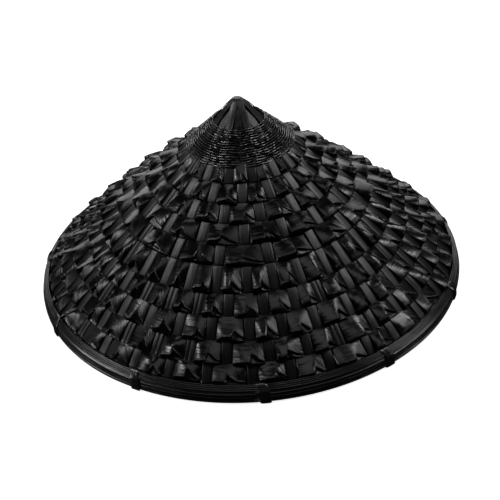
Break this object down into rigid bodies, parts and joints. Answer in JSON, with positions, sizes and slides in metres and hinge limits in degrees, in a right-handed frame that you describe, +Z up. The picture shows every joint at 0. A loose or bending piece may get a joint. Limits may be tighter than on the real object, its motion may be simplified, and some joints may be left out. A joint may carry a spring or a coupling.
{
  "type": "conical bamboo hat",
  "caption": "Wide conical hat of black lacquered split bamboo: plaited wall of folded puffs, twined cap round crossed splints, hooped rim bound with ties, open hollow for a head.",
  "frame": {"origin": "centre of the circle that the rim stands on, on the ground under the tip", "axes": "+Z up through the tip, -Y to the front that the picture shows, +X to its right"},
  "size_m": [0.4194, 0.4207, 0.1889],
  "materials": {
    "weave": "black lacquered split bamboo, glossy along the fibres",
    "cap": "black lacquered fine bamboo twining, satin",
    "splints": "black lacquered bamboo splints, satin with fibre streaks",
    "rim": "black lacquered bamboo hoops and reeds, satin",
    "ties": "black lacquered bamboo strip, glossy on the bends"
  },
  "bodies": {
    "root": {"woven_body": "weave", "twined_cap": "cap", "upper_splints": "splints", "lower_splints": "splints", "rim_outer_hoop": "rim", "rim_lower_strip": "rim", "rim_inner_hoop": "rim", "rim_reeds": "rim", "rim_tie_01": "ties", "rim_tie_02": "ties", "rim_tie_03": "ties", "rim_tie_04": "ties", "rim_tie_05": "ties", "rim_tie_06": "ties", "rim_tie_07": "ties", "rim_tie_08": "ties", "rim_tie_09": "ties", "rim_tie_10": "ties", "rim_tie_11": "ties"}
  },
  "joints": []
}
